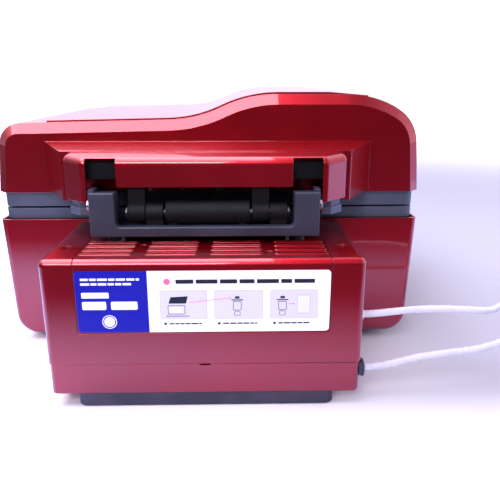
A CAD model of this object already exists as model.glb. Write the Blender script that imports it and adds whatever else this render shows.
"""The looks of a vacuum sublimation press for mugs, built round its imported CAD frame.

Metres, in the frame's own axes: +Z is up, the pump box and the hinge are on the -Y side, and the operator
stands on the +Y side. The camera looks at the pump box, along +Y and a little down.
"""

import math
import random
import bmesh
import bpy
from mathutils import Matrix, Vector, noise


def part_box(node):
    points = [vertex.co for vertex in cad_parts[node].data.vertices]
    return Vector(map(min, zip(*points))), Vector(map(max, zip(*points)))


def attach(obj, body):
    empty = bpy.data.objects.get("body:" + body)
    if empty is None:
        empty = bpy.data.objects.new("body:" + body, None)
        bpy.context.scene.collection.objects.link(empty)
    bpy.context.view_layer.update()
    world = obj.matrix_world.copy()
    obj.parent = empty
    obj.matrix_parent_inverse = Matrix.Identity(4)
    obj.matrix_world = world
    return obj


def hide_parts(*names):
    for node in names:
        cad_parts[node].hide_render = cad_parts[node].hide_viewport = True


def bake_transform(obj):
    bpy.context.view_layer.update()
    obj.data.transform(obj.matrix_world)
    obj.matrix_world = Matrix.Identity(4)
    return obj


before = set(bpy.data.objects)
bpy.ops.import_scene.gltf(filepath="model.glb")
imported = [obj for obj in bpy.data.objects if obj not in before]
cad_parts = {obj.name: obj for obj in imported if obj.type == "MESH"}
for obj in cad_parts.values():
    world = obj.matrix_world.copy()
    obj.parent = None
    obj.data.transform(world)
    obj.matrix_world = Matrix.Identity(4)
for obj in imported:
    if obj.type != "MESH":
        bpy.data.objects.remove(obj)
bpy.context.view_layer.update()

MM = 0.001
UP = Vector((0, 0, 1))
ALONG_X = (1, 0, 0)
SIDES = (-1, 1)
RANDOM = random.Random(7)
BLUE_WIDTH = 74 * MM  # of the blue panel at the left end of the rear label


# ---------------------------------------------------------------- shader writing


class Finish:
    """One procedural material. Each method adds shader nodes and gives back the socket with the result."""

    def __init__(self, name, owner=None, place="Object"):
        self.material = owner or bpy.data.materials.get(name) or bpy.data.materials.new(name)
        self.material.use_nodes = True
        self.tree = self.material.node_tree
        self.tree.nodes.clear()
        self.place = self.node("ShaderNodeTexCoord").outputs[place]

    def node(self, kind, inputs=None, **settings):
        made = self.tree.nodes.new(kind)
        for name, value in settings.items():
            setattr(made, name, value)
        for name, value in (inputs or {}).items():
            self.feed(made.inputs[name], value)
        return made

    def feed(self, socket, value):
        if isinstance(value, bpy.types.NodeSocket):
            self.tree.links.new(value, socket)
        elif socket.type == "RGBA":
            socket.default_value = (*value[:3], 1.0)
        else:
            socket.default_value = value

    def axis(self, name):
        return self.node("ShaderNodeSeparateXYZ", {"Vector": self.place}).outputs[name]

    def spread(self, stretch):
        return self.node("ShaderNodeMapping", {"Vector": self.place, "Scale": stretch}).outputs["Vector"]

    def noise(self, scale, detail=3.0, stretch=(1, 1, 1)):
        inputs = {"Vector": self.spread(stretch), "Scale": scale, "Detail": detail}
        return self.node("ShaderNodeTexNoise", inputs).outputs["Fac"]

    def cells(self, scale, output="Color", stretch=(1, 1, 1), feature="F1"):
        inputs = {"Vector": self.spread(stretch), "Scale": scale}
        return self.node("ShaderNodeTexVoronoi", inputs, feature=feature).outputs[output]

    def ramp(self, value, low, high, start=0.0, end=1.0):
        inputs = {"Value": value, "From Min": low, "From Max": high, "To Min": start, "To Max": end}
        return self.node("ShaderNodeMapRange", inputs, interpolation_type="SMOOTHSTEP").outputs["Result"]

    def maths(self, operation, a, b=0.0):
        made = self.node("ShaderNodeMath", operation=operation)
        self.feed(made.inputs[0], a)
        self.feed(made.inputs[1], b)
        return made.outputs["Value"]

    def mix(self, share, a, b):
        return self.node("ShaderNodeMixRGB", {"Fac": share, "Color1": a, "Color2": b}).outputs["Color"]

    def bump(self, height, distance, strength=1.0, normal=None):
        inputs = {"Height": height, "Distance": distance, "Strength": strength}
        if normal is not None:
            inputs["Normal"] = normal
        return self.node("ShaderNodeBump", inputs).outputs["Normal"]

    def bevel(self, radius):
        return self.node("ShaderNodeBevel", {"Radius": radius}, samples=4).outputs["Normal"]

    def wear(self, bevelled):
        """1 along sharp edges, where the bevelled normal leaves the surface's own, else 0."""
        flat = self.node("ShaderNodeNewGeometry").outputs["Normal"]
        dot = self.node("ShaderNodeVectorMath", operation="DOT_PRODUCT")
        self.feed(dot.inputs[0], bevelled)
        self.feed(dot.inputs[1], flat)
        return self.ramp(dot.outputs["Value"], 0.995, 0.8)

    def surface(self, **inputs):
        """Ends the material in one Principled shader; base_color means its input Base Color, and so on."""
        named = {key.replace("_", " ").title().replace("Ior", "IOR"): value for key, value in inputs.items()}
        shader = self.node("ShaderNodeBsdfPrincipled", named)
        out = self.node("ShaderNodeOutputMaterial")
        self.tree.links.new(shader.outputs["BSDF"], out.inputs["Surface"])
        return self.material


def scaled(colour, factor):
    return tuple(min(1.0, c * factor) for c in colour)


# ---------------------------------------------------------------- finishes


def car_paint(name, dark, bright):
    """Candy metallic paint under a thick clear coat: fine flakes, a slow change of depth and orange peel."""
    f = Finish(name)
    edge = f.bevel(1.1 * MM)
    flakes = f.cells(5200, "Color")
    tone = f.mix(f.ramp(f.noise(3.0, 2), 0.3, 0.7), dark, bright)
    colour = f.mix(f.ramp(flakes, 0.0, 1.0, 0.0, 0.2), tone, scaled(bright, 1.4))
    smear = f.noise(26, 4, (1, 1, 0.4))
    peel = f.bump(f.noise(330, 2), 0.015 * MM, 0.5, edge)
    grain = f.bump(flakes, 0.012 * MM, 0.6, peel)
    return f.surface(
        base_color=colour,
        metallic=0.86,
        roughness=f.ramp(smear, 0.35, 0.75, 0.33, 0.38),
        normal=grain,
        coat_weight=1.0,
        coat_ior=1.62,
        coat_roughness=f.ramp(smear, 0.4, 0.8, 0.025, 0.06),
        coat_normal=peel,
    )


def moulded(name, colour, rough=0.45, grain=1500, depth=0.05, edge=0.6, shine=0.5):
    """Injection-moulded plastic: a spark-eroded grain, flow marks and paler rubbed edges."""
    f = Finish(name)
    bevelled = f.bevel(edge * MM)
    tone = f.mix(f.ramp(f.noise(18, 4), 0.3, 0.7), scaled(colour, 0.85), scaled(colour, 1.15))
    rubbed = f.maths("MULTIPLY", f.wear(bevelled), f.ramp(f.noise(60, 3), 0.35, 0.65, 0.15, 0.5))
    height = f.maths("ADD", f.noise(grain, 2), f.maths("MULTIPLY", f.cells(grain * 0.7, "Distance"), 0.5))
    return f.surface(
        base_color=f.mix(rubbed, tone, scaled(colour, 2.0)),
        roughness=f.ramp(f.noise(40, 4), 0.3, 0.75, rough - 0.06, rough + 0.08),
        normal=f.bump(height, depth * MM, 0.7, bevelled),
        specular_ior_level=shine,
    )


def metal(name, colour, rough=0.28, brush=(1, 30, 30), depth=0.01, edge=0.4):
    """Bare metal with the lines of its rolling or brushing, stains and bright edges."""
    f = Finish(name)
    bevelled = f.bevel(edge * MM)
    lines = f.noise(90, 5, brush)
    stain = f.noise(11, 5)
    tone = f.mix(f.ramp(stain, 0.35, 0.7), scaled(colour, 0.82), colour)
    tone = f.mix(f.ramp(lines, 0.3, 0.7, 0.0, 0.3), tone, scaled(colour, 1.15))
    brushed = f.ramp(lines, 0.3, 0.7, rough - 0.06, rough + 0.07)
    return f.surface(
        base_color=f.mix(f.maths("MULTIPLY", f.wear(bevelled), 0.4), tone, scaled(colour, 1.4)),
        metallic=1.0,
        roughness=f.maths("ADD", brushed, f.ramp(stain, 0.5, 0.8, 0, 0.08)),
        normal=f.bump(lines, depth * MM, 0.6, bevelled),
        anisotropic=0.4,
    )


def powder_coat(name, colour):
    """Baked powder paint: a fine orange peel and faint blotches."""
    f = Finish(name)
    bevelled = f.bevel(0.6 * MM)
    specks = f.cells(900, "Distance")
    return f.surface(
        base_color=f.mix(f.ramp(f.noise(35, 3), 0.3, 0.7), scaled(colour, 0.8), scaled(colour, 1.3)),
        roughness=f.ramp(f.noise(300, 2), 0.3, 0.7, 0.42, 0.58),
        normal=f.bump(specks, 0.06 * MM, 0.6, bevelled),
        specular_ior_level=0.5,
    )


def rubber(name, colour, rough=0.75, sheen=0.2):
    """Matte rubber with dust in places."""
    f = Finish(name)
    dust = f.ramp(f.noise(70, 5), 0.5, 0.8, 0.0, 0.35)
    height = f.maths("ADD", f.noise(900, 3), f.noise(120, 3))
    return f.surface(
        base_color=f.mix(dust, colour, scaled(colour, 2.2)),
        roughness=f.ramp(f.noise(45, 3), 0.3, 0.7, rough - 0.1, rough + 0.1),
        normal=f.bump(height, 0.08 * MM, 0.7, f.bevel(0.5 * MM)),
        sheen_weight=sheen,
    )


def milky(name, colour, rough, through, scatter, cloudy=0.1, uneven=0.03):
    """Soft plastic, cloudy in places; through is the share of light that passes, and may be nothing."""
    f = Finish(name)
    cloud = f.noise(55, 4)
    return f.surface(
        base_color=f.mix(f.ramp(cloud, 0.3, 0.75), scaled(colour, 0.93), colour),
        roughness=f.ramp(f.noise(200, 3), 0.3, 0.7, rough - 0.04, rough + 0.06),
        transmission_weight=f.ramp(cloud, 0.3, 0.75, through + cloudy, through - cloudy),
        subsurface_weight=scatter,
        subsurface_scale=0.004,
        ior=1.42,
        normal=f.bump(f.noise(260, 3), uneven * MM, 0.6),
    )


def clear(name, colour, rough=0.03):
    """Glass or clear plastic with fine wipe marks."""
    f = Finish(name)
    return f.surface(
        base_color=f.mix(f.ramp(f.noise(30, 3), 0.3, 0.7), scaled(colour, 0.97), colour),
        roughness=f.ramp(f.noise(120, 5, (1, 1, 6)), 0.5, 0.8, rough, rough + 0.12),
        transmission_weight=1.0,
        ior=1.46,
        normal=f.bump(f.noise(90, 2), 0.01 * MM, 0.5),
    )


def fibre(name, colour):
    """Mineral wool: tangled fibres over soft clumps."""
    f = Finish(name)
    strands = f.maths("ADD", f.noise(420, 6, (1, 7, 2)), f.noise(380, 6, (6, 1, 3)))
    clumps = f.noise(45, 4)
    pale = f.mix(clumps, colour, scaled(colour, 1.15))
    return f.surface(
        base_color=f.mix(f.ramp(strands, 0.7, 1.2), scaled(colour, 0.7), pale),
        roughness=f.ramp(clumps, 0.2, 0.8, 0.85, 1.0),
        normal=f.bump(strands, 0.9 * MM, 0.9),
        sheen_weight=0.5,
    )


def porous(name, colour, size):
    """Sintered grains."""
    f = Finish(name)
    grains = f.cells(size, "Distance")
    return f.surface(
        base_color=f.mix(f.ramp(grains, 0.1, 0.6), colour, scaled(colour, 0.45)),
        roughness=f.ramp(grains, 0.0, 0.6, 0.5, 0.8),
        metallic=0.3,
        normal=f.bump(f.maths("MULTIPLY", grains, -1.0), 0.25 * MM, 0.9),
    )


def circuit(name):
    """A green board by height: solder mask below, dark and yellow-wrapped parts above."""
    f = Finish(name)
    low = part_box("power_board")[0]
    board_top = low.z + 7.8 * MM
    tracks = f.ramp(f.cells(240, "Distance", (1, 1, 0.01), "DISTANCE_TO_EDGE"), 0.02, 0.05)
    mask = f.mix(tracks, (0.012, 0.16, 0.06), (0.006, 0.07, 0.03))
    taped, black = (0.55, 0.38, 0.03), (0.03, 0.03, 0.035)
    parts = f.mix(f.ramp(f.axis("X"), low.x + 41 * MM, low.x + 46 * MM), taped, black)
    return f.surface(
        base_color=f.mix(f.ramp(f.axis("Z"), board_top, board_top + 0.3 * MM), mask, parts),
        roughness=f.ramp(f.noise(80, 3), 0.3, 0.7, 0.3, 0.5),
        normal=f.bump(tracks, 0.05 * MM, 0.6, f.bevel(0.4 * MM)),
    )


def label_film(name, split):
    """Printed film: a blue panel up to x = split and a white one beyond it, under a satin laminate."""
    f = Finish(name)
    white_side = f.maths("GREATER_THAN", f.axis("X"), split)
    screen = f.ramp(f.cells(1500, "Distance"), 0.2, 0.6, 0.0, 0.08)
    blue = f.mix(screen, (0.003, 0.004, 0.33), (0.008, 0.010, 0.40))
    white = f.mix(screen, (0.84, 0.87, 0.91), (0.80, 0.83, 0.88))
    return f.surface(
        base_color=f.mix(white_side, blue, white),
        roughness=f.ramp(f.noise(35, 4), 0.3, 0.7, 0.28, 0.4),
        normal=f.bump(f.noise(60, 3), 0.05 * MM, 0.5),
        specular_ior_level=0.2,
        coat_weight=0.05,
        coat_roughness=0.2,
    )


def ink(name, colour, rough=0.35):
    """Screen-printed ink, a little uneven."""
    f = Finish(name)
    return f.surface(
        base_color=f.mix(f.ramp(f.noise(500, 3), 0.35, 0.7), scaled(colour, 0.97), scaled(colour, 1.03)),
        roughness=f.ramp(f.noise(150, 3), 0.3, 0.7, rough - 0.05, rough + 0.08),
        normal=f.bump(f.noise(900, 2), 0.003 * MM, 0.4),
    )


def smoked_glass(name, colour):
    """Dark glossy plastic with fine wipe marks."""
    f = Finish(name)
    return f.surface(
        base_color=f.mix(f.ramp(f.noise(20, 3), 0.3, 0.7), colour, scaled(colour, 1.6)),
        roughness=f.ramp(f.noise(90, 5, (1, 1, 5)), 0.5, 0.8, 0.06, 0.2),
        normal=f.bevel(0.4 * MM),
        coat_weight=1.0,
        coat_roughness=0.03,
    )


def lamp(name, colour, power):
    """A lit segment or lamp."""
    f = Finish(name)
    glow = f.ramp(f.noise(400, 2), 0.3, 0.7, power * 0.85, power)
    return f.surface(base_color=colour, roughness=0.3, emission_color=colour, emission_strength=glow)


def make_finishes():
    """Gives every material slot its own procedural finish, and makes those of the added pieces."""
    car_paint("red_paint", (0.37, 0.0025, 0.009), (0.50, 0.004, 0.014))
    moulded("grey_band", (0.066, 0.078, 0.122), 0.42, edge=1.4)
    moulded("black_plastic", (0.032, 0.036, 0.060), 0.42, 1100, 0.06, 1.1)
    moulded("hinge_black", (0.004, 0.004, 0.006), 0.62, 1100, 0.06, 0.9, shine=0.22)
    smoked_glass("console_face", (0.012, 0.012, 0.015))
    powder_coat("black_steel", (0.014, 0.014, 0.018))
    powder_coat("pan_coat", (0.042, 0.028, 0.048))
    metal("steel", (0.6, 0.6, 0.62))
    metal("spring_steel", (0.12, 0.12, 0.13), 0.38, (30, 1, 1))
    metal("aluminium", (0.74, 0.74, 0.77), 0.32, (1, 22, 22))
    metal("reflector", (0.86, 0.86, 0.88), 0.16, (22, 1, 22))
    metal("chrome", (0.8, 0.8, 0.82), 0.08, (1, 1, 1), 0.002)
    rubber("rubber", (0.018, 0.018, 0.02))
    milky("silicone", (0.76, 0.72, 0.7), 0.34, through=0.35, scatter=0.3)
    rubber("seal", (0.36, 0.035, 0.03), 0.7, 0.4)
    milky("hose", (0.62, 0.62, 0.70), 0.26, through=0.0, scatter=0.0, cloudy=0.0, uneven=0.0005)
    moulded("white_plastic", (0.78, 0.79, 0.82), 0.35)
    label_film("label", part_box("label_plate")[0].x + BLUE_WIDTH)
    smoked_glass("display", (0.006, 0.006, 0.008))
    clear("quartz", (0.93, 0.94, 0.95), 0.08)
    porous("ceramic", (0.78, 0.76, 0.7), 1500)
    fibre("wool", (0.72, 0.69, 0.6))
    circuit("circuit")
    metal("motor", (0.16, 0.16, 0.175), 0.4, (1, 12, 12))
    metal("pump", (0.5, 0.5, 0.52), 0.5, (1, 1, 1), 0.05)
    moulded("key_grey", (0.42, 0.43, 0.46), 0.42)
    moulded("key_red", (0.55, 0.02, 0.025), 0.4)
    clear("bowl", (0.9, 0.95, 0.98), 0.04)
    porous("sinter", (0.72, 0.52, 0.3), 2600)
    metal("brass", (0.78, 0.56, 0.28), 0.3, (1, 1, 18))
    ink("ink_dark", (0.012, 0.012, 0.03))
    ink("ink_white", (0.86, 0.86, 0.92))
    ink("ink_lilac", (0.42, 0.42, 0.62))
    ink("ink_pale", (0.68, 0.69, 0.82))
    ink("ink_pink", (0.85, 0.12, 0.3))
    ink("ink_box", (0.60, 0.60, 0.70))
    ink("ink_amber", (0.85, 0.25, 0.04))
    lamp("lit_red", (1.0, 0.04, 0.02), 3.0)
    lamp("lit_green", (0.05, 0.9, 0.2), 1.5)
    for node in ("hinge_block_left", "hinge_block_right", "spring_cover", "lid_hinge_arms"):
        repaint(node, "hinge_black")
    repaint("pedestal_pan", "pan_coat")


def repaint(node, finish):
    """Gives one CAD node another finish than the rest of its slot."""
    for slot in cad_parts[node].material_slots:
        slot.material = finish_of(finish)


# ---------------------------------------------------------------- mesh writing


def finish_of(name):
    return bpy.data.materials[name]


def piece(name, body, slot, build, finish=None, sharp=35):
    """A new mesh piece made by build(bm), riding on a CAD body and taking its finish from a slot."""
    mesh = bpy.data.meshes.new(name)
    bm = bmesh.new()
    build(bm)
    bmesh.ops.remove_doubles(bm, verts=bm.verts, dist=1e-6)
    bmesh.ops.recalc_face_normals(bm, faces=bm.faces)
    bm.to_mesh(mesh)
    bm.free()
    for polygon in mesh.polygons:
        polygon.use_smooth = True
    mesh.set_sharp_from_angle(angle=math.radians(sharp))
    mesh.materials.append(finish_of(finish or slot))
    made = bpy.data.objects.new(name, mesh)
    bpy.context.scene.collection.objects.link(made)
    if body:
        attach(made, body)
    return made


def stitch(bm, rings):
    """Faces between successive rings of vertices; a ring of one vertex is a pole."""
    for low, high in zip(rings, rings[1:]):
        count = max(len(low), len(high))
        for i in range(count):
            j = (i + 1) % count
            corners = [low[i % len(low)], low[j % len(low)], high[j % len(high)], high[i % len(high)]]
            unique = list(dict.fromkeys(corners))
            if len(unique) > 2:
                bm.faces.new(unique)


def lathe(bm, profile, centre, axis=UP, steps=32):
    """Turns a profile of (radius, height) pairs about an axis through centre; radius 0 is a pole."""
    turn = UP.rotation_difference(Vector(axis)).to_matrix()
    rings = []
    for radius, height in profile:
        count = 1 if radius == 0 else steps
        ring = []
        for i in range(count):
            angle = 2 * math.pi * i / steps
            local = Vector((radius * math.cos(angle), radius * math.sin(angle), height))
            ring.append(bm.verts.new(Vector(centre) + turn @ local))
        rings.append(ring)
    stitch(bm, rings)


def lathe_mm(bm, profile, centre, axis=UP, steps=32):
    """Like lathe, with the profile in millimetres."""
    lathe(bm, [(radius * MM, height * MM) for radius, height in profile], centre, axis, steps)


def smooth_path(points, per_span=8):
    """A Catmull-Rom curve through the points."""
    stops = [Vector(p) for p in points]
    ends = [stops[0] * 2 - stops[1]] + stops + [stops[-1] * 2 - stops[-2]]
    path = []
    for a, b, c, d in zip(ends, ends[1:], ends[2:], ends[3:]):
        for i in range(per_span):
            t = i / per_span
            point = 2 * b + (c - a) * t
            point = point + (2 * a - 5 * b + 4 * c - d) * t ** 2
            point = point + (3 * b - 3 * c + d - a) * t ** 3
            path.append(0.5 * point)
    return path + [stops[-1]]


def tube(bm, path, radius, sides=10):
    """A closed tube along a path; radius is a number, or a function of the distance along the path."""
    normal = None
    rings, travelled = [], 0.0
    for i, point in enumerate(path):
        ahead = path[min(i + 1, len(path) - 1)] - path[max(i - 1, 0)]
        ahead.normalize()
        if normal is None:
            normal = ahead.orthogonal().normalized()
        normal = (normal - ahead * normal.dot(ahead)).normalized()
        side = ahead.cross(normal)
        travelled += (point - path[i - 1]).length if i else 0.0
        size = radius(travelled) if callable(radius) else radius
        ring = []
        for k in range(sides):
            angle = 2 * math.pi * k / sides
            ring.append(bm.verts.new(point + (normal * math.cos(angle) + side * math.sin(angle)) * size))
        rings.append(ring)
    rings = [[bm.verts.new(path[0])]] + rings + [[bm.verts.new(path[-1])]]
    stitch(bm, rings)


def screw_head(bm, centre, axis, radius, height, turned=0.0, steps=48, rings=10):
    """A domed screw head with a cross recess, made as a polar height field with a rim."""
    turn = UP.rotation_difference(Vector(axis)).to_matrix()
    arm, reach, deep = radius * 0.13, radius * 0.58, height * 0.55

    def lifted(r, angle):
        level = height * (1 - 0.45 * (r / radius) ** 2)
        u, v = abs(r * math.cos(angle + turned)), abs(r * math.sin(angle + turned))
        inside = min(u, v) < arm and max(u, v) < reach
        return level - deep if inside else level

    def vert(r, angle, level):
        local = Vector((r * math.cos(angle), r * math.sin(angle), level))
        return bm.verts.new(Vector(centre) + turn @ local)

    angles = [2 * math.pi * i / steps for i in range(steps)]
    loops = [[vert(0, 0, lifted(0, 0))]]
    for k in range(1, rings + 1):
        r = radius * k / rings
        loops.append([vert(r, angle, lifted(r, angle)) for angle in angles])
    loops.append([vert(radius, angle, 0) for angle in angles])
    loops.append([vert(0, 0, 0)])
    stitch(bm, loops)


class Sheet:
    """A flat drawing place: origin, the directions of u and v, and the outward normal for the thickness."""

    def __init__(self, origin, along_u, along_v, thick=0.12 * MM):
        self.origin = Vector(origin)
        self.u = Vector(along_u).normalized()
        self.v = Vector(along_v).normalized()
        self.out = self.u.cross(self.v)
        self.thick = thick

    def at(self, u, v, w=0.0):
        return self.origin + self.u * u + self.v * v + self.out * w

    def plate(self, bm, outline):
        """A thin plate over a flat outline of (u, v) points."""
        rings = [[bm.verts.new(self.at(u, v, w)) for u, v in outline] for w in (0.0, self.thick)]
        stitch(bm, rings)
        bm.faces.new(rings[0])
        bm.faces.new(rings[1])

    def strip(self, bm, outer, inner):
        """A thin plate between two outlines with as many points each."""
        top = self.thick
        corners = ((inner, 0.0), (outer, 0.0), (outer, top), (inner, top), (inner, 0.0))
        stitch(bm, [[bm.verts.new(self.at(u, v, w)) for u, v in outline] for outline, w in corners])

    def bar(self, bm, u0, u1, v0, v1, corner=0.0):
        self.plate(bm, rounded_outline(u0, u1, v0, v1, corner))

    def frame(self, bm, u0, u1, v0, v1, line, corner):
        inner = rounded_outline(u0 + line, u1 - line, v0 + line, v1 - line, max(corner - line, 0.1 * MM))
        self.strip(bm, rounded_outline(u0, u1, v0, v1, corner), inner)

    def disc(self, bm, u, v, radius, steps=28):
        self.plate(bm, circle_outline(u, v, radius, steps))

    def ring(self, bm, u, v, radius, line, steps=36):
        self.strip(bm, circle_outline(u, v, radius, steps), circle_outline(u, v, radius - line, steps))

    def arrow(self, bm, tail, tip, line):
        """A straight arrow."""
        tail, tip = Vector(tail), Vector(tip)
        ahead = (tip - tail).normalized()
        side = Vector((-ahead.y, ahead.x)) * line / 2
        neck, barb = tip - ahead * line * 3.2, side * 3.4
        outline = [tail - side, neck - side, neck - barb, tip, neck + barb, neck + side, tail + side]
        self.plate(bm, [tuple(p) for p in outline])


def rounded_outline(u0, u1, v0, v1, corner, steps=4):
    """The outline of a rectangle with round corners, as (u, v) points."""
    if corner <= 0:
        return [(u0, v0), (u1, v0), (u1, v1), (u0, v1)]
    outline = []
    left, right, low, high = u0 + corner, u1 - corner, v0 + corner, v1 - corner
    middles = ((right, low), (right, high), (left, high), (left, low))
    for quarter, (u, v) in enumerate(middles):
        for i in range(steps + 1):
            angle = math.pi / 2 * (quarter - 1 + i / steps)
            outline.append((u + corner * math.cos(angle), v + corner * math.sin(angle)))
    return outline


def circle_outline(u, v, radius, steps):
    angles = [2 * math.pi * i / steps for i in range(steps)]
    return [(u + radius * math.cos(a), v + radius * math.sin(a)) for a in angles]


# ---------------------------------------------------------------- label print

# Each picture's box on the label's white part: its start beyond the blue panel, and its width.
PICTURE_BOXES = ((12 * MM, 49 * MM), (68 * MM, 51 * MM), (126 * MM, 50 * MM))
BOX_LOW, BOX_HIGH, BOX_LINE = 14.4 * MM, 46.5 * MM, 0.4 * MM


def print_label():
    """Generic print on the rear label: bars in place of words, and simple pictures of press and filter."""
    low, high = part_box("label_plate")
    sheet = Sheet((0, low.y - 0.02 * MM, low.z), ALONG_X, UP)
    thin_sheet = Sheet(sheet.origin, sheet.u, sheet.v, 0.05 * MM)
    white = low.x + BLUE_WIDTH
    boxes = [(white + start, width) for start, width in PICTURE_BOXES]
    prints = (
        ("white", "ink_white", lambda bm: draw_on_blue(bm, sheet, low.x + 6 * MM)),
        ("dark", "ink_dark", lambda bm: draw_dark(bm, sheet, white, high.x, boxes)),
        ("lilac", "ink_lilac", lambda bm: draw_lilac(bm, sheet, boxes)),
        ("boxes", "ink_box", lambda bm: fill_boxes(bm, thin_sheet, boxes)),
        ("pale", "ink_pale", lambda bm: draw_pale(bm, sheet, boxes)),
        ("pink", "ink_pink", lambda bm: draw_pink(bm, sheet, white, boxes)),
    )
    for name, finish, draw in prints:
        piece("label_print_" + name, "base", "label", draw, finish)


def draw_on_blue(bm, sheet, left):
    """Two rows of words, two larger ones and a round mark, from u = left."""
    for row, width in ((57.6, 60), (52.6, 55)):
        word_row(sheet, bm, left, left + width * MM, row * MM, 2.4 * MM)
    word_row(sheet, bm, left, left + 28 * MM, 38.4 * MM, 6.2 * MM)
    word_row(sheet, bm, left, left + 58 * MM, 25.6 * MM, 9.0 * MM)
    sheet.ring(bm, left + 27 * MM, 12 * MM, 7.6 * MM, 0.8 * MM)
    sheet.disc(bm, left + 27 * MM, 12 * MM, 5.6 * MM)


def draw_dark(bm, sheet, white, right, boxes):
    """The heading, a caption with its bullet under each box, and the pictures."""
    word_row(sheet, bm, white + 29 * MM, right - 16 * MM, 53.8 * MM, 4.4 * MM)
    for start, width in boxes:
        word_row(sheet, bm, start + 9 * MM, start + width - 6 * MM, 8.6 * MM, 1.6 * MM)
        sheet.disc(bm, start + 5 * MM, 9.4 * MM, 1.5 * MM)
    press_icon(sheet, bm, boxes[0][0] + 8 * MM, 20 * MM)
    filter_icon(sheet, bm, boxes[1][0] + 24 * MM, 18 * MM)
    filter_icon(sheet, bm, boxes[2][0] + 13 * MM, 18 * MM)


def draw_lilac(bm, sheet, boxes):
    """The boxes' lines and the outline of the new filter in the last one."""
    for start, width in boxes:
        sheet.frame(bm, start, start + width, BOX_LOW, BOX_HIGH, BOX_LINE, 1.2 * MM)
    sheet.frame(bm, boxes[2][0] + 28 * MM, boxes[2][0] + 42 * MM, 20 * MM, 41 * MM, 0.5 * MM, 1 * MM)


def fill_boxes(bm, sheet, boxes):
    for start, width in boxes:
        inside = (start + BOX_LINE, start + width - BOX_LINE, BOX_LOW + BOX_LINE, BOX_HIGH - BOX_LINE)
        sheet.bar(bm, *inside, 1 * MM)


def draw_pale(bm, sheet, boxes):
    """The fill of the new filter and of the press."""
    sheet.bar(bm, boxes[2][0] + 28.8 * MM, boxes[2][0] + 41.2 * MM, 20.8 * MM, 40.2 * MM, 0.6 * MM)
    sheet.bar(bm, boxes[0][0] + 9 * MM, boxes[0][0] + 24 * MM, 21.4 * MM, 28.6 * MM, 0.6 * MM)


def draw_pink(bm, sheet, white, boxes):
    """The arrow from press to filter, the one between old and new filter, and the mark before the heading."""
    sheet.arrow(bm, (boxes[0][0] + 30 * MM, 33 * MM), (boxes[1][0] + 18 * MM, 38 * MM), 0.6 * MM)
    sheet.arrow(bm, (boxes[2][0] + 19 * MM, 31 * MM), (boxes[2][0] + 26 * MM, 31 * MM), 0.6 * MM)
    sheet.disc(bm, white + 20 * MM, 56 * MM, 3.4 * MM)


def word_row(sheet, bm, start, end, level, height):
    """A line of plain bars of word length, which stands for print and spells nothing."""
    at, gap = start, height * 0.55
    while at < end - height:
        reach = min(at + height * RANDOM.uniform(2.4, 5.2), end)
        sheet.bar(bm, at, reach, level, level + height, height * 0.16)
        at = reach + gap


def press_icon(sheet, bm, u, v):
    """A press with its lid ajar, on a base line."""
    lid = ((1, 12), (19, 12), (21, 20), (3, 19))
    sheet.frame(bm, u, u + 18 * MM, v, v + 10 * MM, 0.6 * MM, 1 * MM)
    sheet.plate(bm, [(u + across * MM, v + up * MM) for across, up in lid])
    sheet.bar(bm, u - 2 * MM, u + 22 * MM, v - 2.4 * MM, v - 1.6 * MM)


def filter_icon(sheet, bm, u, v):
    """A filter's head and knob over its bowl and drain cup."""
    sheet.bar(bm, u - 6 * MM, u + 6 * MM, v + 17 * MM, v + 18.2 * MM)
    sheet.bar(bm, u - 2.4 * MM, u + 2.4 * MM, v + 19 * MM, v + 21.6 * MM, 0.6 * MM)
    sheet.frame(bm, u - 4.4 * MM, u + 4.4 * MM, v + 6 * MM, v + 16 * MM, 0.6 * MM, 1.4 * MM)
    sheet.frame(bm, u - 3.2 * MM, u + 3.2 * MM, v, v + 5.2 * MM, 0.5 * MM, 1.4 * MM)


# ---------------------------------------------------------------- console print

SEGMENTS = {
    "0": "abcdef",
    "1": "bc",
    "2": "abdeg",
    "3": "abcdg",
    "8": "abcdefg",
}


SLOPE = math.radians(30)  # of the console's face, leaning back from upright
SLOPE_MIDDLE = Vector((0, 232.5 * MM, 120.31 * MM))
KEY_BODIES = {"key_set": "set_key", "key_up": "up_key", "key_down": "down_key", "key_start": "start_key"}


def slope_sheet(lift):
    """A sheet lifted off the console's slope: u runs to the operator's right and v up the slope."""
    out = Vector((0, math.cos(SLOPE), math.sin(SLOPE)))
    return Sheet(SLOPE_MIDDLE + out * lift, (-1, 0, 0), (0, -math.sin(SLOPE), math.cos(SLOPE)))


def across_slope(node):
    """The u of a console node's middle and its half width."""
    low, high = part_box(node)
    return -(low.x + high.x) / 2, (high.x - low.x) / 2


def digit(sheet, bm, mark, u, v, width, height, line):
    """A seven-segment digit with its lower left corner at (u, v)."""
    half, gap = height / 2, line * 0.3
    places = {
        "a": (gap, width - gap, height - line, height),
        "d": (gap, width - gap, 0, line),
        "g": (gap + line, width - gap - line, half - line / 2, half + line / 2),
        "f": (0, line, half + gap, height - gap),
        "e": (0, line, gap, half - gap),
        "b": (width - line, width, half + gap, height - gap),
        "c": (width - line, width, gap, half - gap),
    }
    for segment in SEGMENTS[mark]:
        u0, u1, v0, v1 = places[segment]
        sheet.bar(bm, u + u0, u + u1, v + v0, v + v1, line * 0.35)


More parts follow.
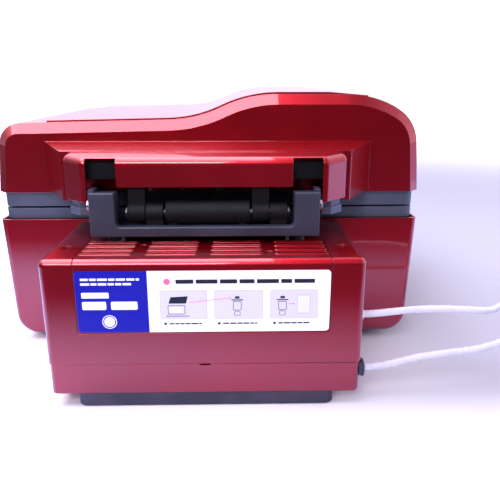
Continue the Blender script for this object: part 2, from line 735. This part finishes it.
def print_console():
    """Everything on the console's slope: lit display, lines and key symbols."""
    middle = across_slope("display_window")[0]
    glass, face, tops = (slope_sheet(lift * MM) for lift in (1.22, 1.02, 2.62))
    piece("display_digits", "base", "display", lambda bm: draw_digits(bm, glass, middle - 28 * MM), "lit_red")
    piece("display_lights", "base", "display", lambda bm: draw_lights(bm, glass, middle), "lit_green")
    piece("fascia_print", "base", "console_face", lambda bm: draw_fascia(bm, face, middle), "ink_white")
    for name, body in KEY_BODIES.items():
        slot, finish = ("key_red", "ink_white") if name == "key_start" else ("key_grey", "ink_dark")
        piece(name + "_symbol", body, slot, lambda bm, name=name: draw_symbol(bm, tops, name), finish)


def draw_digits(bm, glass, start):
    """A temperature with its degree ring, then a time, from u = start."""
    for offset, number in ((0, "180"), (31 * MM, "320")):
        for i, mark in enumerate(number):
            digit(glass, bm, mark, start + offset + i * 9.5 * MM, -7 * MM, 7 * MM, 14 * MM, 1.5 * MM)
    glass.ring(bm, start + 28.5 * MM, 5.6 * MM, 1.5 * MM, 0.5 * MM)


def draw_lights(bm, glass, middle):
    for u in (middle - 24 * MM, middle + 8 * MM):
        glass.disc(bm, u, 11.2 * MM, 0.9 * MM)


def draw_fascia(bm, face, middle):
    """A line round the fascia, one round the display and a ring round each key."""
    face.frame(bm, -106 * MM, 106 * MM, -22 * MM, 22 * MM, 0.4 * MM, 4 * MM)
    face.frame(bm, middle - 35.5 * MM, middle + 35.5 * MM, -17.5 * MM, 17.5 * MM, 0.5 * MM, 2 * MM)
    for name in KEY_BODIES:
        u, radius = across_slope(name)
        face.ring(bm, u, 0, radius + 2.4 * MM, 0.5 * MM)


def draw_symbol(bm, tops, name):
    """An up or down triangle, a ring with a dot for set, or a ring with a bar for start."""
    u, size = across_slope(name)[0], 3.2 * MM
    if name == "key_up":
        tops.plate(bm, [(u - size, -size * 0.8), (u + size, -size * 0.8), (u, size)])
    elif name == "key_down":
        tops.plate(bm, [(u + size, size * 0.8), (u - size, size * 0.8), (u, -size)])
    elif name == "key_set":
        tops.ring(bm, u, 0, size, 0.7 * MM)
        tops.disc(bm, u, 0, 0.9 * MM, 16)
    else:
        tops.ring(bm, u, -0.4 * MM, size * 1.3, 0.9 * MM)
        tops.bar(bm, u - 0.5 * MM, u + 0.5 * MM, 0.5 * MM, size * 1.7, 0.3 * MM)


# ---------------------------------------------------------------- fasteners and small parts

# Turned profiles in millimetres, as (radius, height).
RIVET = ((0, 1.1), (1.3, 0.9), (2.2, 0.3), (2.4, 0))
COLLAR = ((4.15, 3.1), (6.0, 3.1), (6.4, 3.5), (6.4, 5.0), (5.8, 5.6), (4.15, 5.8), (4.15, 3.1))
NUT = ((4.15, 2.3), (9.0, 2.3), (9.4, 2.8), (9.4, 4.6), (8.8, 5.2), (5.6, 5.4), (4.15, 5.6), (4.15, 2.3))
GRIP_RIB = ((8.9, -1.3), (9.35, -0.9), (9.5, 0), (9.35, 0.9), (8.9, 1.3), (8.9, -1.3))

NUT_RADIUS = 9.4 * MM
NUT_RIDGES = 18
# Where the hoses leave the pump box's side wall, as (y, z).
UPPER_PORT = (-335 * MM, 95 * MM)
LOWER_PORT = (-352 * MM, 39 * MM)
# The middle of the lid handle's bar, as (y, z).
HANDLE_BAR = (247 * MM, 229 * MM)
FOOT_PLATE = 12.6 * MM  # top of the hinge bracket's foot, above its lowest point


def fit_bracket_screws():
    """A big screw at each end of the hinge bracket, and two in each half of its foot."""
    low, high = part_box("hinge_bracket")

    def screws(bm):
        for side in SIDES:
            end = (side * high.x, low.y + 9 * MM, 211 * MM)
            screw_head(bm, end, (side, 0, 0), 6.0 * MM, 4.4 * MM)
            for x in (60, 112):
                foot = (side * x * MM, low.y + 45 * MM, low.z + FOOT_PLATE)
                screw_head(bm, foot, UP, 4 * MM, 2.4 * MM, turned=0.4 * x)

    piece("bracket_screws", "base", "steel", screws)


def fit_inlet_screws():
    """A screw on each side of the mains inlet."""
    low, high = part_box("power_inlet")
    y, z = (low.y + high.y) / 2, (low.z + high.z) / 2

    def screws(bm):
        for side in SIDES:
            screw_head(bm, (high.x, y + side * 20 * MM, z), ALONG_X, 2.6 * MM, 1.3 * MM, turned=side)

    piece("inlet_screws", "base", "steel", screws)


def fit_console_screws():
    """Two screws in each end of the console's housing."""
    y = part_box("base_tub")[1].y + 14 * MM
    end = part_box("console_housing")[1].x

    def screws(bm):
        for side in SIDES:
            for z in (36, 92):
                screw_head(bm, (side * end, y, z * MM), (side, 0, 0), 3.4 * MM, 1.8 * MM, turned=0.2 * z)

    piece("console_screws", "base", "steel", screws)


def fit_frame_rivets():
    """Rivets round the membrane's frame: nine along each long side and five along each short one."""
    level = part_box("membrane_frame")[1].z
    x_edge, y_edge = 222 * MM, 157 * MM

    def rivets(bm):
        places = [(i * 50 * MM, side * y_edge) for i in range(-4, 5) for side in SIDES]
        places += [(side * x_edge, i * 56 * MM) for i in range(-2, 3) for side in SIDES]
        for x, y in places:
            lathe_mm(bm, RIVET, (x, y, level), steps=16)

    piece("frame_rivets", "membrane", "steel", rivets)


def fit_filter_screws():
    """Four screws in the foot of the filter's stand."""
    low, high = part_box("filter_head")
    middle = (low.y + high.y) / 2

    def screws(bm):
        for x in (12, 50):
            for side in SIDES:
                place = (low.x + x * MM, middle + side * 24 * MM, 2 * MM)
                screw_head(bm, place, UP, 3 * MM, 1.8 * MM, turned=x)

    piece("filter_screws", "base", "steel", screws)


def fit_hose_ends():
    """The white collar on the upper hose and the nut on the lower one, at the wall of the pump box."""
    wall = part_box("pump_box_body")[1].x
    lower = Vector((wall, *LOWER_PORT))
    ridge_ends = [Vector((x * MM, 0, 0)) for x in (2.9, 4.7)]

    def nut(bm):
        lathe_mm(bm, NUT, lower, ALONG_X, 40)
        for i in range(NUT_RIDGES):
            angle = 2 * math.pi * i / NUT_RIDGES
            edge = lower + Vector((0, math.cos(angle), math.sin(angle))) * NUT_RADIUS
            tube(bm, [edge + end for end in ridge_ends], 0.6 * MM, 8)

    def collar(bm):
        lathe_mm(bm, COLLAR, (wall, *UPPER_PORT), ALONG_X, 40)

    piece("hose_collar", "base", "white_plastic", collar)
    piece("hose_nut", "base", "black_plastic", nut)


def helix(start, end, y, z, radius, turns, per_turn):
    """A path that winds about a line along X."""
    count = int(turns * per_turn)
    path = []
    for i in range(count + 1):
        angle = 2 * math.pi * i / per_turn
        across, up = radius * math.cos(angle), radius * math.sin(angle)
        path.append(Vector((start + (end - start) * i / count, y + across, z + up)))
    return path


def fit_heaters():
    """The wound wire inside each quartz tube, with a straight lead at each end."""
    low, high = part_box("heater_tubes")
    level = (low.z + high.z) / 2
    tubes, inset, lead = 5, 5 * MM, 8 * MM
    pitch = (high.y - low.y - 2 * inset) / (tubes - 1)

    def coils(bm):
        for i in range(tubes):
            y = low.y + inset + i * pitch
            tube(bm, helix(low.x + lead, high.x - lead, y, level, 2.4 * MM, 96, 10), 0.3 * MM, 4)
            for end, inward in ((low.x, lead), (high.x, -lead)):
                tube(bm, [Vector((end, y, level)), Vector((end + inward, y, level))], 0.8 * MM, 6)

    piece("heater_coils", "lid", "steel", coils, "spring_steel")


def fit_heater_cable():
    """The lid's cable in its ribbed sleeve, from the hinge bracket up into the lid past the hinge."""
    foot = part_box("hinge_bracket")[0].z + FOOT_PLATE
    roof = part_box("lid_hinge_arms")[1].z - 4 * MM
    stops = [
        (0.0, -215 * MM, foot),
        (2 * MM, -213 * MM, foot + 18 * MM),
        (10 * MM, -236 * MM, foot + 30 * MM),
        (16 * MM, -255 * MM, foot + 42 * MM),
        (10 * MM, -248 * MM, foot + 58 * MM),
        (0.0, -232 * MM, roof),
    ]
    path = smooth_path(stops, 22)

    def ribbed(way):
        return (3.6 + 0.18 * math.sin(way / MM * 2.4)) * MM

    cable = piece("heater_cable", None, "black_plastic", lambda bm: tube(bm, path, ribbed, 14), "rubber")
    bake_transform(cable)


# Name, colour, and the stops in millimetres.
WIRES = (
    ("wire_brown", (0.16, 0.05, 0.02), ((150, -237, 99), (138, -240, 80), (120, -262, 62), (92, -288, 46))),
    ("wire_blue", (0.02, 0.07, 0.4), ((150, -244, 95), (134, -246, 74), (112, -262, 56), (82, -286, 44))),
    ("wire_earth", (0.25, 0.4, 0.03), ((150, -230, 95), (136, -224, 62), (120, -222, 34), (98, -228, 20))),
    (
        "wire_switch",
        (0.02, 0.02, 0.022),
        ((146, -291, 100), (134, -288, 82), (124, -294, 58), (121, -292, 44)),
    ),
    (
        "wire_pump",
        (0.45, 0.02, 0.02),
        ((-128, -262, 70), (-140, -240, 50), (-90, -220, 32), (20, -218, 26), (70, -268, 30)),
    ),
    (
        "wire_fan",
        (0.5, 0.4, 0.05),
        ((-140, -250, 72), (-128, -226, 46), (-60, -212, 26), (30, -206, 24), (78, -262, 32)),
    ),
    ("wire_valve", (0.35, 0.35, 0.38), ((77, -212, 118), (96, -226, 110), (112, -250, 70), (100, -276, 42))),
)


def fit_wiring():
    """The wires between the board and what it switches."""
    for name, colour, stops in WIRES:
        rubber(name, colour, 0.45, 0.0)
        path = smooth_path([Vector(p) * MM for p in stops], 10)
        piece(name, "base", "rubber", lambda bm, path=path: tube(bm, path, 1.3 * MM, 10), name)


def fit_handle_ribs():
    """Grip ribs round the handle's bar."""

    def ribs(bm):
        for i in range(-13, 14):
            lathe_mm(bm, GRIP_RIB, (i * 4.4 * MM, *HANDLE_BAR), ALONG_X, 36)

    piece("handle_grip", "lid", "rubber", ribs)


# ---------------------------------------------------------------- soft parts


def rounded_grid(low, high, corner, nx, ny, level):
    """A grid of vertices over a rectangle with round corners."""
    columns = [low.x + (high.x - low.x) * i / nx for i in range(nx + 1)]
    rows = [low.y + (high.y - low.y) * j / ny for j in range(ny + 1)]
    points = []
    for y in rows:
        for x in columns:
            points.append(keep_inside(Vector((x, y, level)), low, high, corner))
    faces = []
    for j in range(ny):
        for i in range(nx):
            a = j * (nx + 1) + i
            faces.append((a, a + 1, a + nx + 2, a + nx + 1))
    return points, faces


def keep_inside(point, low, high, corner):
    """Pulls a point of the rectangle onto the arc of its round corner."""
    cx = min(max(point.x, low.x + corner), high.x - corner)
    cy = min(max(point.y, low.y + corner), high.y - corner)
    off = Vector((point.x - cx, point.y - cy, 0))
    if off.length > corner:
        off *= corner / off.length
    return Vector((cx, cy, point.z)) + off


def drape(sheet, pinned, frames, cap):
    """Lets a sheet sag, holds its pinned vertices and scales the sag so that no point moves past cap."""
    rest = [v.co.copy() for v in sheet.data.vertices]
    group = sheet.vertex_groups.new(name="held")
    group.add([i for i, co in enumerate(rest) if pinned(co)], 1.0, "ADD")
    cloth = sheet.modifiers.new("Sag", "CLOTH")
    cloth.settings.quality = 6
    cloth.settings.mass = 0.4
    cloth.settings.tension_stiffness = 20
    cloth.settings.compression_stiffness = 8
    cloth.settings.bending_stiffness = 0.3
    cloth.settings.shrink_min = -0.012
    cloth.settings.vertex_group_mass = "held"
    cloth.point_cache.frame_start = 1
    cloth.point_cache.frame_end = frames
    scene = bpy.context.scene
    for step in range(1, frames + 1):
        scene.frame_set(step)
    evaluated = sheet.evaluated_get(bpy.context.evaluated_depsgraph_get())
    moved = [v.co.copy() for v in evaluated.data.vertices]
    sheet.modifiers.clear()
    sheet.vertex_groups.clear()
    furthest = max((b - a).length for a, b in zip(rest, moved))
    share = min(1.0, cap / max(furthest, 1e-9))
    for vert, a, b in zip(sheet.data.vertices, rest, moved):
        vert.co = a + (b - a) * share
    scene.frame_set(1)


def lay_membrane():
    """The silicone sheet, clamped at its border and sagging a little over the tray."""
    low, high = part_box("silicone_membrane")
    corner, clamped, easing = 22 * MM, 18 * MM, 30 * MM
    points, faces = rounded_grid(low, high, corner, 96, 68, (low.z + high.z) / 2)

    def build(bm):
        verts = [bm.verts.new(p) for p in points]
        for face in faces:
            bm.faces.new([verts[i] for i in face])

    sheet = piece("silicone_sheet", None, "silicone", build)

    def margins(co):
        return high.x - clamped - abs(co.x), high.y - clamped - abs(co.y)

    def pinned(co):
        return min(margins(co)) < 0

    drape(sheet, pinned, frames=26, cap=5 * MM)
    for vert in sheet.data.vertices:
        if not pinned(vert.co):
            ripple = noise.noise(Vector((vert.co.x * 14, vert.co.y * 26, 3.0)))
            slack = min(1.0, min(margins(vert.co)) / easing)
            vert.co.z += ripple * 0.7 * MM * slack
    thick = sheet.modifiers.new("Thickness", "SOLIDIFY")
    thick.thickness = high.z - low.z - 0.1 * MM
    thick.offset = 0.0
    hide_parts("silicone_membrane")
    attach(sheet, "membrane")


def remeshed(node, voxel, name, slot):
    """A copy of a CAD node as an even mesh that can be shaped."""
    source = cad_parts[node]
    made = bpy.data.objects.new(name, source.data.copy())
    bpy.context.scene.collection.objects.link(made)
    remesh = made.modifiers.new("Even", "REMESH")
    remesh.mode = "VOXEL"
    remesh.voxel_size = voxel
    evaluated = made.evaluated_get(bpy.context.evaluated_depsgraph_get())
    mesh = bpy.data.meshes.new_from_object(evaluated)
    made.modifiers.clear()
    made.data = mesh
    mesh.name = name
    mesh.materials.clear()
    mesh.materials.append(finish_of(slot))
    for polygon in mesh.polygons:
        polygon.use_smooth = True
    return made


def fluff(blanket, depth):
    """Pulls the surface of a fibre blanket in by clumps and rounds its edges, never past its own space."""
    mesh = blanket.data
    normals = [v.normal.copy() for v in mesh.vertices]
    for vert, normal in zip(mesh.vertices, normals):
        coarse = noise.noise(vert.co * 38) * 0.5 + 0.5
        fine = noise.noise(vert.co * 170) * 0.5 + 0.5
        vert.co -= normal * depth * (0.25 + 0.75 * coarse + 0.35 * fine)
    relax = blanket.modifiers.new("Soft", "SMOOTH")
    relax.factor = 0.35
    relax.iterations = 1


BLANKETS = (("tray_insulation", "tray_blanket", "base"), ("lid_insulation", "lid_blanket", "lid"))


def lay_blankets():
    """The fibre blankets, in place of the CAD's plain insulation."""
    for node, name, body in BLANKETS:
        blanket = remeshed(node, 4 * MM, name, "wool")
        fluff(blanket, 1.6 * MM)
        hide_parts(node)
        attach(blanket, body)


# ---------------------------------------------------------------- stage, light and camera


FLOOR_HALF = 6.0
PAPER = ((0.90, 0.89, 0.93), (0.93, 0.92, 0.95))
SHADED_PAPER = (0.41, 0.42, 0.47)
# What reflections show of the floor: lit, changing from left to right, and dark towards the viewer.
MIRRORED_LEFT, MIRRORED_RIGHT = (0.52, 0.95, 1.45), (0.32, 0.50, 0.75)
MIRRORED_DARK = (0.03, 0.02, 0.035)


def lay_floor():
    """A square of pale paper under the machine."""
    corners = [(x * FLOOR_HALF, y * FLOOR_HALF, 0) for x, y in ((-1, -1), (1, -1), (1, 1), (-1, 1))]
    mesh = bpy.data.meshes.new("floor")
    mesh.from_pydata(corners, [], [(0, 1, 2, 3)])
    mesh.materials.append(floor_paper())
    floor = bpy.data.objects.new("floor", mesh)
    bpy.context.scene.collection.objects.link(floor)


def floor_paper():
    """The floor's finish. Its tint and its reflection depend on the place, as under uneven light."""
    f = Finish("floor_paper")
    path = f.node("ShaderNodeLightPath")
    across, along = f.axis("X"), f.axis("Y")
    # In reflections: dark towards the viewer and far to the left, as a room behind a camera is.
    reach = f.maths("MULTIPLY", f.ramp(along, -0.72, -0.42), f.ramp(across, -0.85, -0.5))
    lit = f.mix(f.ramp(across, -0.35, 0.35), MIRRORED_LEFT, MIRRORED_RIGHT)
    mirrored = f.mix(reach, MIRRORED_DARK, lit)
    # Seen directly: white paper with a shaded patch to the right of the machine and behind it.
    patch = f.maths("MULTIPLY", f.ramp(across, 0.0, 0.35), f.ramp(along, -0.62, -0.25))
    patch = f.maths("MULTIPLY", patch, f.ramp(along, 0.8, 3.5, 1.0, 0.0))
    white = f.mix(f.ramp(f.noise(3, 3), 0.3, 0.7), *PAPER)
    seen = f.mix(patch, white, SHADED_PAPER)
    # A glow that only the camera sees takes the far floor into the white backdrop, and hides the horizon.
    squared = f.maths("ADD", f.maths("MULTIPLY", across, across), f.maths("MULTIPLY", along, along))
    glow = f.maths("MULTIPLY", f.ramp(squared, 0.8, 7.0), path.outputs["Is Camera Ray"])
    return f.surface(
        base_color=f.mix(path.outputs["Is Glossy Ray"], seen, mirrored),
        roughness=0.9,
        specular_ior_level=0.1,
        emission_color=(1.0, 1.0, 1.0),
        emission_strength=glow,
    )


def light_world():
    """A studio: bright overhead on the left, behind and to the right, and dim towards the viewer."""
    world = bpy.data.worlds.new("studio")
    bpy.context.scene.world = world
    f = Finish("studio", world, "Generated")
    across, along, up = f.axis("X"), f.axis("Y"), f.axis("Z")
    left = f.ramp(across, 0.02, 0.10, 1.0, 0.12)
    above = f.maths("MULTIPLY", f.ramp(up, 0.15, 0.8, 0.0, 1.1), left)
    right = f.ramp(across, 0.25, 0.9, 0.0, 0.65)
    behind = f.ramp(along, 0.0, 0.7, 0.0, 1.0)
    everywhere = 0.04
    total = f.maths("ADD", f.maths("ADD", above, right), f.maths("ADD", behind, everywhere))
    is_camera = f.node("ShaderNodeLightPath").outputs["Is Camera Ray"]
    studio = f.node("ShaderNodeBackground", {"Color": (0.96, 0.88, 1.12), "Strength": total})
    backdrop = f.node("ShaderNodeBackground", {"Color": (1.0, 0.995, 1.0), "Strength": 1.05})
    mixed = f.node("ShaderNodeMixShader", {0: is_camera, 1: studio.outputs[0], 2: backdrop.outputs[0]})
    out = f.node("ShaderNodeOutputWorld")
    f.tree.links.new(mixed.outputs[0], out.inputs["Surface"])


def softbox(name, place, aim, width, height, power, colour, mirrored=True):
    """A rectangular light of power watts, aimed at a point; mirrored says if reflections show it."""
    light = bpy.data.lights.new(name, "AREA")
    light.shape = "RECTANGLE"
    light.size, light.size_y = width, height
    light.energy = power
    light.color = colour
    made = bpy.data.objects.new(name, light)
    bpy.context.scene.collection.objects.link(made)
    made.visible_glossy = mirrored
    made.location = place
    made.rotation_euler = (Vector(aim) - Vector(place)).to_track_quat("-Z", "Y").to_euler()


def light_studio():
    """A large light over the left side, one on the right and one from the viewer's side."""
    middle = (0, -0.05, 0.15)
    lavender = (0.97, 0.92, 1.08)
    softbox("overhead", (-0.82, -0.05, 1.9), (-0.82, -0.05, 0.0), 2.0, 2.2, 62, lavender)
    softbox("right_side", (1.9, -0.1, 0.9), middle, 1.4, 1.4, 22, lavender, mirrored=False)
    softbox("front_fill", (-0.6, -2.4, 1.7), middle, 1.2, 0.8, 34, lavender)


def set_camera():
    """Looks at the pump box, level from side to side, a little down and slightly to the right."""
    camera = bpy.data.cameras.new("camera")
    camera.sensor_width = 36
    camera.lens = 41.04
    camera.clip_start = 0.02
    made = bpy.data.objects.new("camera", camera)
    bpy.context.scene.collection.objects.link(made)
    tilt_down, turn_right = 16.9, 1.2
    made.location = (0.0365, -0.915, 0.346)
    made.rotation_euler = (math.radians(90 - tilt_down), 0, math.radians(-turn_right))
    bpy.context.scene.camera = made


def set_view():
    """Shows colours as they are, with no film look."""
    scene = bpy.context.scene
    scene.view_settings.view_transform = "Standard"
    scene.view_settings.look = "None"


make_finishes()
print_label()
print_console()
fit_bracket_screws()
fit_inlet_screws()
fit_console_screws()
fit_frame_rivets()
fit_filter_screws()
fit_hose_ends()
fit_heaters()
fit_heater_cable()
fit_wiring()
fit_handle_ribs()
lay_membrane()
lay_blankets()
lay_floor()
light_world()
light_studio()
set_camera()
set_view()
